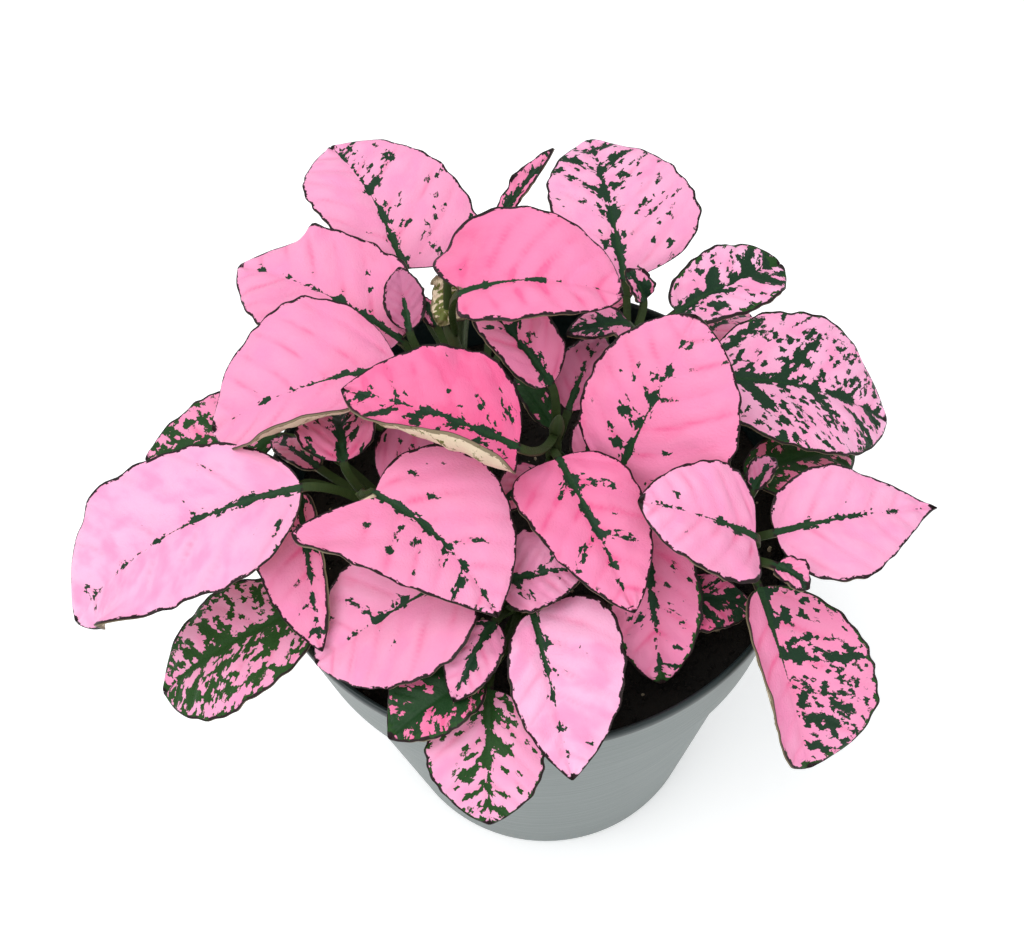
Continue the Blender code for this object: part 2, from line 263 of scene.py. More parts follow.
plastic = Finish("grey_pot_plastic", Specular_IOR_Level=0.45)
plastic_place = plastic.place()
inner = plastic.attribute("inside")
streaks = plastic.noise(plastic.stretch(plastic_place, (40, 40, 900)), 1, 3, 0.6)
clouding = plastic.noise(plastic_place, 45, 3, 0.6)
scuffs = plastic.noise(plastic.stretch(plastic_place, (300, 300, 1600)), 1, 4, 0.7).between(0.66, 0.78)
outer_grey = plastic.blend(clouding, (0.115, 0.141, 0.136), (0.152, 0.180, 0.174))
outer_grey = plastic.blend(scuffs * 0.5, outer_grey, (0.40, 0.45, 0.44))
plastic.set(
    Base_Color=plastic.blend(inner, outer_grey, (0.010, 0.020, 0.021)),
    Roughness=0.34 + clouding * 0.12 + streaks * 0.10 - inner * 0.06,
)
plastic.relief(streaks, 0.35, 0.0004)

outside = [(0, 0.5), (DRAIN_CIRCLE_RADIUS + 8, 0.5), (BASE_RADIUS - 3.2, 0.4)]
outside += bent((BASE_RADIUS - 2.4, 0), (BASE_RADIUS, 0), (body_radius(2.6), 2.6))
outside += [(body_radius(step * BAND_FOOT / 12), step * BAND_FOOT / 12) for step in range(1, 12)]
outside += bent((body_radius(BAND_FOOT - 1.4), BAND_FOOT - 1.4),
                (body_radius(BAND_FOOT), BAND_FOOT - 0.1),
                (body_radius(BAND_FOOT) + 0.8, BAND_FOOT))
outside += bent((BAND_FOOT_RADIUS - 0.5, BAND_FOOT + 0.1),
                (BAND_FOOT_RADIUS, BAND_FOOT + 0.1),
                (band_radius(BAND_FOOT + 1), BAND_FOOT + 1))
outside += [(band_radius(BAND_FOOT + rise), BAND_FOOT + rise) for rise in (5, 10, 15, 20)]
outside += [(band_radius(POT_HEIGHT - 2.6), POT_HEIGHT - 2.6), (RIM_RADIUS - 0.28, POT_HEIGHT - 2.2)]
lip = bent((RIM_RADIUS - 0.1, POT_HEIGHT - 1.6),
           (RIM_RADIUS, POT_HEIGHT),
           (RIM_RADIUS - WALL / 2, POT_HEIGHT))
lip += bent((RIM_RADIUS - WALL / 2, POT_HEIGHT),
            (RIM_RADIUS - WALL, POT_HEIGHT),
            (RIM_RADIUS - WALL - 0.1, POT_HEIGHT - 1))[1:]
inside = [(band_radius(height) - WALL, height) for height in (POT_HEIGHT - 6, POT_HEIGHT - 14, BAND_FOOT + 3)]
inside += bent((BAND_FOOT_RADIUS - WALL, BAND_FOOT + 1.4),
               (BAND_FOOT_RADIUS - WALL, BAND_FOOT),
               (body_radius(BAND_FOOT) - WALL, BAND_FOOT - 1))
inside += [(body_radius(height) - WALL, height) for height in (50, 25, 6)]
inside += bent((body_radius(4) - WALL, 4),
               (body_radius(2) - WALL, FLOOR_THICKNESS),
               (BASE_RADIUS - 6, FLOOR_THICKNESS))
inside += [(0, FLOOR_THICKNESS)]
pot = turned("pot_shell", outside + lip + inside, POT_SIDES, plastic.material)
drills = []
for number in range(DRAIN_HOLES):
    angle = math.tau * number / DRAIN_HOLES
    spot = Vector((math.cos(angle), math.sin(angle), 0)) * DRAIN_CIRCLE_RADIUS * MM
    bm = bmesh.new()
    bmesh.ops.create_cone(
        bm, cap_ends=True, segments=DRILL_SIDES, radius1=DRAIN_HOLE_RADIUS * MM,
        radius2=DRAIN_HOLE_RADIUS * MM, depth=DRILL_LENGTH * MM, matrix=Matrix.Translation(spot))
    mesh = bpy.data.meshes.new("drill")
    bm.to_mesh(mesh)
    bm.free()
    drill = bpy.data.objects.new("drill", mesh)
    bpy.context.collection.objects.link(drill)
    hole = pot.modifiers.new("drain_hole", "BOOLEAN")
    hole.object = drill
    drills.append(drill)


def settle(piece):
    """Turns a piece's modifiers into its plain mesh."""
    bpy.context.view_layer.update()
    finished = bpy.data.meshes.new_from_object(piece.evaluated_get(bpy.context.evaluated_depsgraph_get()))
    piece.modifiers.clear()
    piece.data = finished


settle(pot)
for drill in drills:
    bpy.data.objects.remove(drill, do_unlink=True)
pot_points = np.empty(len(pot.data.vertices) * 3)
pot.data.vertices.foreach_get("co", pot_points)
across, deep, height = pot_points.reshape(-1, 3).T / MM
reach = np.hypot(across, deep)
shell_radius = np.where(height > BAND_FOOT + 0.05, band_radius(height), body_radius(height))
inner_faces = (reach < shell_radius - DARK_FROM_DEPTH) & (height > WALL * 0.9)
worn_lip = height > POT_HEIGHT - WORN_LIP_HEIGHT
hidden = inner_faces | worn_lip
pot.data.attributes.new("inside", "FLOAT", "POINT").data.foreach_set("value", hidden.astype(float))
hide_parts("pot")
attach(pot, "root")

# Soil. Damp peat compost, near black, heaped a little towards the middle, with crumbs
# of peat all over it and a few pale grains of grit and bark on top.
SOIL_LEVEL = 87
SOIL_MOUND = 3
MOUND_RADIUS = 50
SOIL_LUMPS = ((13, 1.3), (4.5, 0.8), (1.8, 0.45))
SOIL_RINGS = 70
SOIL_SIDES = 200
SOIL_SLACK = 0.35
SOIL_FLOOR = WALL + 0.8
CM2_PER_M2 = 10000.0
CRUMBS_PER_CM2 = 34
GRAINS_PER_CM2 = 1.3


def ground_height(x, y):
    """The soil's surface in millimetres: a low mound with lumps of three sizes."""
    spread = math.hypot(x, y) / MOUND_RADIUS
    lumps = 0.0
    for size, height in SOIL_LUMPS:
        lumps += height * noise.noise(Vector((x / size, y / size, size)))
    return SOIL_LEVEL + SOIL_MOUND * max(0, 1 - spread ** 2) + lumps * (1 - spread ** 6)


compost = Finish("damp_compost", Roughness=0.96, Specular_IOR_Level=0.25)
compost_place = compost.place()
flecks = compost.noise(compost_place, 900, 4, 0.7)
patches = compost.noise(compost_place, 120, 3)
peat = compost.blend(patches, (0.006, 0.006, 0.006), (0.020, 0.016, 0.013))
compost.set(Base_Color=compost.blend(flecks.between(0.62, 0.8) * 0.5, peat, (0.075, 0.055, 0.040)))
compost.relief(flecks, 0.8, 0.0006)

soil_side = band_radius(SOIL_LEVEL) - WALL - SOIL_SLACK
profile_below = [
    (soil_side, SOIL_LEVEL - 3),
    (soil_side - 0.6, BAND_FOOT + 2),
    (body_radius(BAND_FOOT - 2) - WALL - SOIL_SLACK, BAND_FOOT - 2),
    (body_radius(6) - WALL - SOIL_SLACK, 6),
    (BASE_RADIUS - 5, SOIL_FLOOR),
]
turns = [math.tau * side / SOIL_SIDES for side in range(SOIL_SIDES)]
around = [(math.cos(turn), math.sin(turn)) for turn in turns]
points = [(0, 0, ground_height(0, 0)), (0, 0, SOIL_FLOOR)]
rings = []
for ring in range(1, SOIL_RINGS + 1):
    radius = soil_side * ring / SOIL_RINGS
    rings.append(range(len(points), len(points) + SOIL_SIDES))
    points += [(radius * x, radius * y, ground_height(radius * x, radius * y)) for x, y in around]
for radius, height in profile_below:
    rings.append(range(len(points), len(points) + SOIL_SIDES))
    points += [(radius * x, radius * y, height) for x, y in around]
faces = []
for here in range(SOIL_SIDES):
    after = (here + 1) % SOIL_SIDES
    faces.append((0, rings[0][here], rings[0][after]))
    faces.append((1, rings[-1][after], rings[-1][here]))
    for inner_ring, outer_ring in zip(rings, rings[1:]):
        faces.append((inner_ring[here], outer_ring[here], outer_ring[after], inner_ring[after]))
ground = new_object("soil_heap", points, faces, compost.material)
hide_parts("soil")
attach(ground, "root")


def scatter_tree(name):
    """Geometry Nodes that strew small rough stones over a surface and keep only the stones."""
    tree = bpy.data.node_groups.new(name, "GeometryNodeTree")
    face = tree.interface
    face.new_socket("Surface", in_out="INPUT", socket_type="NodeSocketGeometry")
    for label in ("Density", "Smallest", "Largest"):
        face.new_socket(label, in_out="INPUT", socket_type="NodeSocketFloat")
    face.new_socket("Seed", in_out="INPUT", socket_type="NodeSocketInt")
    face.new_socket("Finish", in_out="INPUT", socket_type="NodeSocketMaterial")
    face.new_socket("Stones", in_out="OUTPUT", socket_type="NodeSocketGeometry")
    given = tree.nodes.new("NodeGroupInput").outputs
    top = node_in(tree, "GeometryNodeInputNormal")
    upright = node_in(tree, "ShaderNodeSeparateXYZ", None, {0: top}, out=2)
    level = node_in(tree, "ShaderNodeMath", {"operation": "GREATER_THAN"}, {0: upright, 1: 0.55})
    strewn = tree.nodes.new("GeometryNodeDistributePointsOnFaces")
    tree.links.new(given["Surface"], strewn.inputs["Mesh"])
    tree.links.new(level.socket, strewn.inputs["Selection"])
    tree.links.new(given["Density"], strewn.inputs["Density"])
    tree.links.new(given["Seed"], strewn.inputs["Seed"])
    stone = node_in(tree, "GeometryNodeMeshIcoSphere", None, {"Radius": 1.0, "Subdivisions": 1})
    turn = node_in(tree, "FunctionNodeRandomValue", {"data_type": "FLOAT_VECTOR"},
                   {0: (0, 0, 0), 1: (math.tau, math.tau, math.tau), "Seed": given["Seed"]})
    size = node_in(tree, "FunctionNodeRandomValue", {"data_type": "FLOAT"},
                   {2: given["Smallest"], 3: given["Largest"], "Seed": given["Seed"]}, out=1)
    shape = node_in(tree, "FunctionNodeRandomValue", {"data_type": "FLOAT_VECTOR"},
                    {0: (0.6, 0.5, 0.35), 1: (1.2, 1.0, 0.7), "Seed": given["Seed"]})
    scale = node_in(tree, "ShaderNodeVectorMath", {"operation": "SCALE"}, {0: shape, "Scale": size})
    placed = node_in(
        tree, "GeometryNodeInstanceOnPoints", None,
        {"Points": strewn.outputs["Points"], "Instance": stone, "Rotation": turn, "Scale": scale})
    solid = node_in(tree, "GeometryNodeRealizeInstances", None, {0: placed})
    coated = node_in(tree, "GeometryNodeSetMaterial", None, {"Geometry": solid, "Material": given["Finish"]})
    tree.links.new(coated.socket, tree.nodes.new("NodeGroupOutput").inputs["Stones"])
    return tree


def grown_by(name, source, tree, **values):
    """Runs a node tree on a copy of an object and leaves the result as a plain mesh object."""
    made = bpy.data.objects.new(name, source.data.copy())
    bpy.context.collection.objects.link(made)
    worker = made.modifiers.new(tree.name, "NODES")
    worker.node_group = tree
    for item in tree.interface.items_tree:
        if item.in_out == "INPUT" and item.name in values:
            worker[item.identifier] = values[item.name]
    settle(made)
    return made


grit = Finish("tan_grit", Roughness=0.85)
grit_tone = grit.noise(grit.place(), 500, 2)
grit.set(Base_Color=grit.blend(grit_tone, (0.14, 0.10, 0.06), (0.52, 0.44, 0.32)))
strew = scatter_tree("strew_stones")
crumbs = grown_by("soil_crumbs", ground, strew, Density=CRUMBS_PER_CM2 * CM2_PER_M2, Smallest=0.35 * MM,
                  Largest=1.1 * MM, Seed=3, Finish=compost.material)
grains = grown_by("soil_grains", ground, strew, Density=GRAINS_PER_CM2 * CM2_PER_M2, Smallest=0.3 * MM,
                  Largest=0.9 * MM, Seed=11, Finish=grit.material)
for loose in (crumbs, grains):
    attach(loose, "root")

# Shoots. Soft green stems that leave the soil upright and lean out to the light, a
# little swollen where each pair of leaves joins, and drawn in to a blunt tip.
STEM_RADIUS = 1.3
STEM_DEPTH = 22
STEM_POINTS = 48
STEM_SIDES = 20
SWELLING = 0.22
MOST_SWELLING = 0.35
SWELLING_REACH = 1.6

# Each shoot: where it stands on the soil, and its tip.
SHOOTS = {
    "stem_left": ((-19, -8), (-31, -14, 125)),
    "stem_centre": ((3, -2), (6, -4, 129)),
    "stem_right_rear": ((13, 12), (24, 20, 124)),
    "stem_left_rear": ((-8, 10), (-13, 15, 138)),
    "stem_right": ((23, -14), (33, -21, 109)),
    "stem_front": ((-2, -20), (-6, -31, 109)),
}


def stem_point(name, t):
    """A point along a shoot in millimetres, from t = 0 inside the soil to t = 1 at its tip."""
    (root_x, root_y), tip = SHOOTS[name]
    low = np.array((root_x, root_y, SOIL_LEVEL - STEM_DEPTH))
    bend = np.array((root_x, root_y, (SOIL_LEVEL + tip[2]) / 2))
    return low * (1 - t) ** 2 + bend * (2 * t * (1 - t)) + np.array(tip) * t ** 2


def stem_at(name, height):
    """Where a shoot passes a height."""
    along = [stem_point(name, step / 200) for step in range(201)]
    return min(along, key=lambda point: abs(point[2] - height))


def shoot_tree():
    """Geometry Nodes that sweep a round section along a path whose points carry their own radius."""
    tree = bpy.data.node_groups.new("round_shoot", "GeometryNodeTree")
    face = tree.interface
    face.new_socket("Path", in_out="INPUT", socket_type="NodeSocketGeometry")
    face.new_socket("Sides", in_out="INPUT", socket_type="NodeSocketInt")
    face.new_socket("Finish", in_out="INPUT", socket_type="NodeSocketMaterial")
    face.new_socket("Shoot", in_out="OUTPUT", socket_type="NodeSocketGeometry")
    given = tree.nodes.new("NodeGroupInput").outputs
    path = node_in(tree, "GeometryNodeMeshToCurve", None, {0: given["Path"]})
    section = node_in(tree, "GeometryNodeCurvePrimitiveCircle", None,
                      {"Resolution": given["Sides"], "Radius": MM})
    girth = node_in(tree, "GeometryNodeInputNamedAttribute", {"data_type": "FLOAT"}, {"Name": "girth"})
    swept = node_in(tree, "GeometryNodeCurveToMesh", None,
                    {"Curve": path, "Profile Curve": section, "Scale": girth, "Fill Caps": True})
    smooth = node_in(tree, "GeometryNodeSetShadeSmooth", None, {0: swept})
    solid = node_in(tree, "GeometryNodeRealizeInstances", None, {0: smooth})
    coated = node_in(tree, "GeometryNodeSetMaterial", None, {"Geometry": solid, "Material": given["Finish"]})
    tree.links.new(coated.socket, tree.nodes.new("NodeGroupOutput").inputs["Shoot"])
    return tree


def path_object(points, girths):
    """A path of points in millimetres, each with the radius of the shoot there."""
    mesh = bpy.data.meshes.new("path")
    mesh.from_pydata([tuple(np.asarray(point) * MM) for point in points],
                     [(step, step + 1) for step in range(len(points) - 1)], [])
    mesh.attributes.new("girth", "FLOAT", "POINT").data.foreach_set("value", girths)
    holder = bpy.data.objects.new("path", mesh)
    bpy.context.collection.objects.link(holder)
    return holder


sap = Finish("green_shoot", Roughness=0.55, Specular_IOR_Level=0.35)
sap_place = sap.place()
ridges = sap.noise(sap.stretch(sap_place, (900, 900, 90)), 1, 3)
blush = sap.noise(sap_place, 90, 2)
sap_green = sap.blend(ridges, (0.016, 0.032, 0.007), (0.055, 0.080, 0.020))
sap.set(Base_Color=sap.blend(blush.between(0.5, 0.75) * 0.6, sap_green, (0.11, 0.06, 0.035)))
sap.relief(ridges, 0.4, 0.0004)
sweep = shoot_tree()

# Each leaf: the shoot it is on and how high it joins it. Its blade runs from base to tip.
# "arch" bows the blade up and "sway" to its left, "roll" turns it about its length, "cup"
# lifts both halves and "curl" rolls their margins up. "half" is how wide each half is,
# "belly" where along it is widest, and "lobe" how far it reaches back past the base. Pairs
# are for the left and the right half, seen from the base with the upper face up.
LEAVES = {
    "back_left_fan": dict(
        on="stem_left_rear", at=120, base=(-21, 39, 125), tip=(-35, 71, 130), half=(12, 18), arch=4, sway=1,
        belly=(0.6, 0.15), lobe=(0, 6)),
    "back_right_fan": dict(
        on="stem_right_rear", at=118, base=(22, 30, 126), tip=(19, 66, 130), half=(12, 17), arch=4,
        belly=(0.5, 0.3)),
    "back_edge": dict(
        on="stem_left_rear", at=126, base=(-1, 52, 124), tip=(11, 60, 134), half=(3, 2), arch=0, cup=25),
    "right_back": dict(
        on="stem_right_rear", at=114, base=(31, 22, 124), tip=(53, 32, 124), half=(8, 8), roll=8,
        belly=(0.55, 0.6), lobe=(3, 3)),
    "right_broad": dict(
        on="stem_right_rear", at=110, base=(34, 7, 122), tip=(70, 3, 108), half=(16, 15), arch=5, roll=6,
        belly=(0.5, 0.5)),
    "centre_right": dict(
        on="stem_centre", at=117, base=(15, -14, 122), tip=(30, 1, 147), half=(12, 17), roll=18,
        belly=(0.5, 0.4), lobe=(0, 7)),
    "under_right": dict(
        on="stem_right", at=103, base=(40, -9, 112), tip=(63, -2, 106), half=(6, 9)),
    "right_pointed": dict(
        on="stem_right", at=107, base=(42, -25, 117), tip=(73, -20, 112), half=(10, 12), arch=3, roll=14,
        lobe=(3, 2)),
    "right_inward": dict(
        on="stem_right", at=104, base=(37, -29, 123), tip=(17, -26, 133), half=(10, 10), roll=-14,
        lobe=(8, 0)),
    "right_bud": dict(
        on="stem_right", at=98, base=(40, -34, 121), tip=(45, -38, 119), half=(3, 3), arch=1, cup=25),
    "right_young": dict(
        on="stem_right", at=108, base=(39, -18, 121), tip=(44, -12, 121), half=(3, 2), arch=1, cup=25),
    "right_hanging": dict(
        on="stem_right", at=92, base=(39, -31, 108), tip=(46, -56, 84), half=(16, 8), curl=(-10, 90),
        belly=(0.62, 0.5)),
    "right_inner": dict(
        on="stem_centre", at=97, base=(22, -27, 101), tip=(39, -31, 101), half=(5, 8)),
    "front_right": dict(
        on="stem_centre", at=104, base=(19, -18, 114), tip=(20, -43, 98), half=(9, 8), belly=(0.45, 0.5)),
    "centre_diagonal": dict(
        on="stem_centre", at=118, base=(5, -12.5, 128), tip=(15, -40, 120), half=(10, 11), lobe=(2, 2),
        belly=(0.4, 0.2)),
    "centre_pale": dict(
        on="stem_front", at=108, base=(-7, -29, 115), tip=(8, -30, 119), half=(8, 7), roll=12),
    "front_main": dict(
        on="stem_front", at=103, base=(-2, -35, 114), tip=(2, -62, 104), half=(14, 7), lobe=(7, 0),
        belly=(0.35, 0.45)),
    "front_low": dict(
        on="stem_front", at=99, base=(-11, -44, 104), tip=(-13, -64, 92), half=(10, 11), belly=(0.5, 0.45)),
    "front_shade": dict(
        on="stem_front", at=101, base=(-12, -42, 107), tip=(-29, -51, 103), half=(7, 10)),
    "front_young": dict(
        on="stem_front", at=105, base=(-9, -35, 112), tip=(-17, -48, 109), half=(5, 5), belly=(0.45, 0.45)),
    "front_left": dict(
        on="stem_left", at=109, base=(-14, -28, 118), tip=(-42, -35, 103), half=(14, 12), roll=-12,
        belly=(0.4, 0.45), lobe=(5, 0)),
    "left_heart": dict(
        on="stem_left", at=120, base=(-27, -19, 132), tip=(-8, -39, 121), half=(15, 15), sway=-2,
        lobe=(5, 14), belly=(0.42, 0.16)),
    "left_behind": dict(
        on="stem_left", at=117, base=(-26, -11, 122), tip=(-10, 1, 120), half=(9, 9)),
    "left_narrow": dict(
        on="stem_left", at=110, base=(-42, -10, 121), tip=(-40, -35, 107), half=(4, 9), curl=(60, 0), cup=20),
    "left_green": dict(
        on="stem_left", at=98, base=(-41, -23, 104), tip=(-73, -32, 91), half=(14, 11), arch=3,
        belly=(0.55, 0.5)),
    "left_large": dict(
        on="stem_left", at=121, base=(-40, -15, 130), tip=(-86.5, -22.5, 104), half=(14, 15), arch=5, sway=3,
        roll=-14, belly=(0.33, 0.6)),
    "left_far": dict(
        on="stem_left", at=106, base=(-49, 12, 110), tip=(-76, 12, 106), half=(8, 11)),
    "back_left_fold": dict(
        on="stem_left_rear", at=112, base=(-22, 18, 128), tip=(-53, 39, 130), half=(15, 14), arch=4),
    "left_upper": dict(
        on="stem_left_rear", at=119, base=(-22, 6, 135), tip=(-57, 2, 126), half=(15, 17), arch=4,
        curl=(70, -10), roll=-8),
    "centre_left": dict(
        on="stem_centre", at=124, base=(-2, -15, 136), tip=(-31, -4, 142), half=(11, 13), arch=3,
        curl=(120, 0), roll=-12, lobe=(5, 0)),
    "top_centre": dict(
        on="stem_left_rear", at=133, base=(-9.5, 10, 148), tip=(18, 4, 150), half=(13.5, 8), arch=5, roll=12,
        lobe=(22, 4)),
    "dark_fold": dict(
        on="stem_centre", at=125, base=(5, 1, 132), tip=(-8, 17, 140), half=(7, 7), cup=30),
    "centre_rear": dict(
        on="stem_centre", at=119, base=(8, 1, 124), tip=(16, 16, 126), half=(5, 6), cup=20),
    "centre_lobe": dict(
        on="stem_centre", at=110, base=(10, -7, 118), tip=(15, 1, 124), half=(4, 3), cup=20, arch=1),
    "centre_green": dict(
        on="stem_centre", at=113, base=(5, 2, 118), tip=(-1, 14, 120), half=(3, 3), arch=1, cup=20),
    "rear_spotted": dict(
        on="stem_right_rear", at=119, base=(21, 16, 129), tip=(9, 13, 131), half=(4, 4), cup=15, arch=1),
    "rear_bud": dict(
        on="stem_right_rear", at=120, base=(25, 24, 126), tip=(22, 28, 131), half=(3, 3), cup=30, arch=1),
    "dusky_rear": dict(
        on="stem_left_rear", at=116, base=(-20, 18, 131), tip=(-21, 30, 135), half=(4, 4), arch=1),
    "rear_young": dict(
        on="stem_left_rear", at=124, base=(-15, 20, 129), tip=(-18, 25, 132), half=(2, 2), arch=1),
    "rear_new": dict(
        on="stem_left_rear", at=128, base=(-10, 19, 133), tip=(-5, 21, 136), half=(2, 2), arch=1),
    "left_rosette": dict(
        on="stem_left", at=121, base=(-33, -8, 127), tip=(-34, 5, 125), half=(8, 7), cup=20),
    "centre_bud": dict(
        on="stem_centre", at=116, base=(2, -9, 120), tip=(-7, -18, 121), half=(5, 4), cup=20, arch=1),
    "left_slip": dict(
        on="stem_left", at=117, base=(-39, -3, 119), tip=(-49, 8, 114), half=(3, 3), cup=15, arch=1),
    "rear_low": dict(
        on="stem_left_rear", at=105, base=(-4, 38, 112), tip=(2, 64, 98), half=(10, 10), arch=4),
    "rear_low_left": dict(
        on="stem_left_rear", at=102, base=(-24, 34, 110), tip=(-38, 56, 98), half=(10, 9), arch=4),
    "rear_low_right": dict(
        on="stem_right_rear", at=104, base=(19, 36, 110), tip=(23, 62, 96), half=(9, 7), arch=4),
    "rear_inner": dict(
        on="stem_left_rear", at=115, base=(2, 34, 120), tip=(6, 54, 113), half=(8, 8), arch=3),
    "rear_low_side": dict(
        on="stem_right_rear", at=101, base=(33, 26, 107), tip=(52, 42, 97), half=(8, 8), arch=3),
    "left_low_rear": dict(
        on="stem_left_rear", at=99, base=(-36, 20, 105), tip=(-58, 35, 97), half=(9, 8), arch=3),
}

for name in SHOOTS:
    joints = [row["at"] for row in LEAVES.values() if row["on"] == name]
    points = [stem_point(name, step / (STEM_POINTS - 1)) for step in range(STEM_POINTS)]
    girths = []
    for step, point in enumerate(points):
        t = step / (STEM_POINTS - 1)
        swelling = sum(SWELLING * math.exp(-((point[2] - joint) / SWELLING_REACH) ** 2) for joint in joints)
        blunt_tip = 1 - max(0, (t - 0.94) / 0.06) ** 2 * 0.75
        girths.append((STEM_RADIUS * (1 - 0.22 * t) + min(swelling, MOST_SWELLING)) * blunt_tip)
    path = path_object(points, girths)
    shoot = grown_by(name + "_shoot", path, sweep, Sides=STEM_SIDES, Finish=sap.material)
    bpy.data.objects.remove(path, do_unlink=True)
    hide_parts(name)
    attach(shoot, "root")

# Leaves. Each is one soft blade on its own petiole: rounded at the base, drawn to a
# point, sunk along its veins, waved at its margin, pink above with dark green blotches
# that gather on the veins, a thin dark edge, and cream with olive veins below.
PETIOLE_HALF_WIDTH = 0.75
PETIOLE_SPRING = 0.3
TIP_HALF_WIDTH = 0.12
BLADE_THICKNESS = 0.4
PETIOLE_THICKNESS = 1.3
MARGIN_THICKNESS = 0.3
PETIOLE_STATIONS = 14
BLADE_STATIONS = 84
HALF_COLUMNS = 26

# Side veins leave the midrib at every VEIN_STEP of the blade's length and slant forward.
# VEIN_SQUARE turns a distance along the blade into the one square to a slanting vein, and
# GRAIN_SWEEP is how far the markings slant with the veins.
VEIN_STEP = 0.17
VEIN_SLANT = 0.85
VEIN_SQUARE = 0.75
VEIN_WIDTH = 0.42
BRANCH_WIDTH = 1.15
BRANCHES = 16
GRAIN_SWEEP = 0.45
MM_PER_CM = 10
UNDERSIDE_SHIFT = 50

# How each leaf looks. "green" is how much green each half carries, "depth" how deep and
# "dusk" how dull its pink is, "fresh" how bright its green is, "edging" how wide the green
# along its margin is and "wave" how far that margin waves, both in millimetres, and "blunt"
# its tip, from drawn out below 0 to round at 1. "depth" is the leaf's own tone and partly
# painted shade, set higher for leaves that sit in shade. A crease lifts a half's margin: where
# along the blade, by how many millimetres, and how far it reaches. A tuck rolls one margin:
# which half, where, its reach, how many degrees, and how many millimetres wider the half is there.
LOOKS = {
    "back_left_fan": dict(green=(0.15, 0.5), depth=0.15, blunt=0.6),
    "back_right_fan": dict(green=(0.6, 0.6), depth=-0.05, edging=0.3),
    "back_edge": dict(green=(0.5, 0.5), depth=0.6),
    "right_back": dict(green=(0.7, 0.7), depth=-0.25, edging=0.9, blunt=1),
    "right_broad": dict(green=(0.76, 0.76), depth=-0.1, edging=0.6, blunt=0.5),
    "centre_right": dict(green=(0.45, 0.25), depth=0.55, blunt=0.6),
    "under_right": dict(green=(0.95, 0.95), depth=0.7, fresh=0.6, edging=1.5),
    "right_pointed": dict(green=(0.2, 0.2), depth=0.0, blunt=-0.8),
    "right_inward": dict(green=(0.15, 0.15), depth=0.15, blunt=0.5),
    "right_bud": dict(green=(0.4, 0.4), depth=0.4),
    "right_young": dict(green=(0.4, 0.4), depth=0.4, dusk=0.7),
    "right_hanging": dict(green=(0.78, 0.0), depth=0.4, edging=0.8, blunt=0.9),
    "right_inner": dict(green=(0.85, 0.85), depth=0.95),
    "front_right": dict(green=(0.5, 0.5), depth=0.65, edging=0.9, blunt=0.7),
    "centre_diagonal": dict(green=(0.4, 0.4), depth=0.7, blunt=0.3),
    "centre_pale": dict(green=(0.3, 0.3), depth=0.2, blunt=0.3, dusk=0.25),
    "front_main": dict(green=(0.2, 0.2), depth=-0.2, blunt=0.2),
    "front_low": dict(green=(0.6, 0.6), depth=0.05, fresh=0.8, edging=0.7, blunt=0.4),
    "front_shade": dict(green=(1.0, 1.0), depth=0.9, fresh=0.5, edging=1.0),
    "front_young": dict(green=(0.45, 0.45), depth=0.25, dusk=0.2),
    "centre_rear": dict(green=(0.25, 0.25), depth=0.6, dusk=0.6),
    "front_left": dict(green=(0.2, 0.3), depth=0.25, blunt=0.4),
    "left_heart": dict(green=(0.35, 0.35), depth=0.35, blunt=0),
    "left_behind": dict(green=(0.5, 0.5), depth=0.6, dusk=0.4),
    "left_narrow": dict(green=(0.4, 0.4), depth=0.5, blunt=0.2),
    "left_green": dict(green=(0.85, 0.85), depth=0.1, fresh=0.9, edging=1.3, blunt=0.6),
    "left_large": dict(green=(0.35, 0.25), depth=-0.15, blunt=0.7, wave=1.1,
                       crease=(((0.74, 7, 0.08), (0.3, -2, 0.12)), ())),
    "left_far": dict(green=(0.8, 0.8), depth=0.4, fresh=0.7, edging=0.8),
    "back_left_fold": dict(green=(0.25, 0.25), depth=0.35, blunt=0.3, wave=1.2,
                           crease=((), ((0.68, 4, 0.06), (0.2, 3, 0.1)))),
    "left_upper": dict(green=(0.15, 0.25), depth=0.35, blunt=0.6, tuck=(0, 0.5, 0.3, 10, 1)),
    "centre_left": dict(green=(0.55, 0.4), depth=1.0, blunt=0.2, tuck=(0, 0.2, 0.2, 20, 2),
                        crease=((), ((0.45, -3, 0.07),))),
    "top_centre": dict(green=(0.1, 0.2), depth=0.7, blunt=0.7, crease=(((0.2, -4, 0.1),), ())),
    "dark_fold": dict(green=(0.5, 0.5), depth=0.55),
    "left_rosette": dict(green=(0.6, 0.6), depth=0.6),
    "centre_green": dict(green=(1.3, 1.3), depth=0.8, fresh=0.6),
    "rear_spotted": dict(green=(0.75, 0.75), depth=0.35),
    "rear_bud": dict(green=(0.75, 0.75), depth=0.35),
    "dusky_rear": dict(green=(0.1, 0.1), depth=0.6, dusk=0.9),
}


def unit(vectors):
    """The same directions, each with a length of 1."""
    return vectors / np.linalg.norm(vectors, axis=-1, keepdims=True)


def outline(t, belly, blunt):
    """How wide a blade is along its length: round at its base, 1 at its widest, then drawn to its tip."""
    t = np.clip(t, 0, 1)
    low = (1 - (1 - np.minimum(t / belly, 1)) ** 2.2) ** 0.6
    high = (1 - np.clip((t - belly) / (1 - belly), 0, 1) ** (1.7 + 0.5 * blunt)) ** (1 - 0.45 * blunt)
    return np.where(t < belly, low, high)


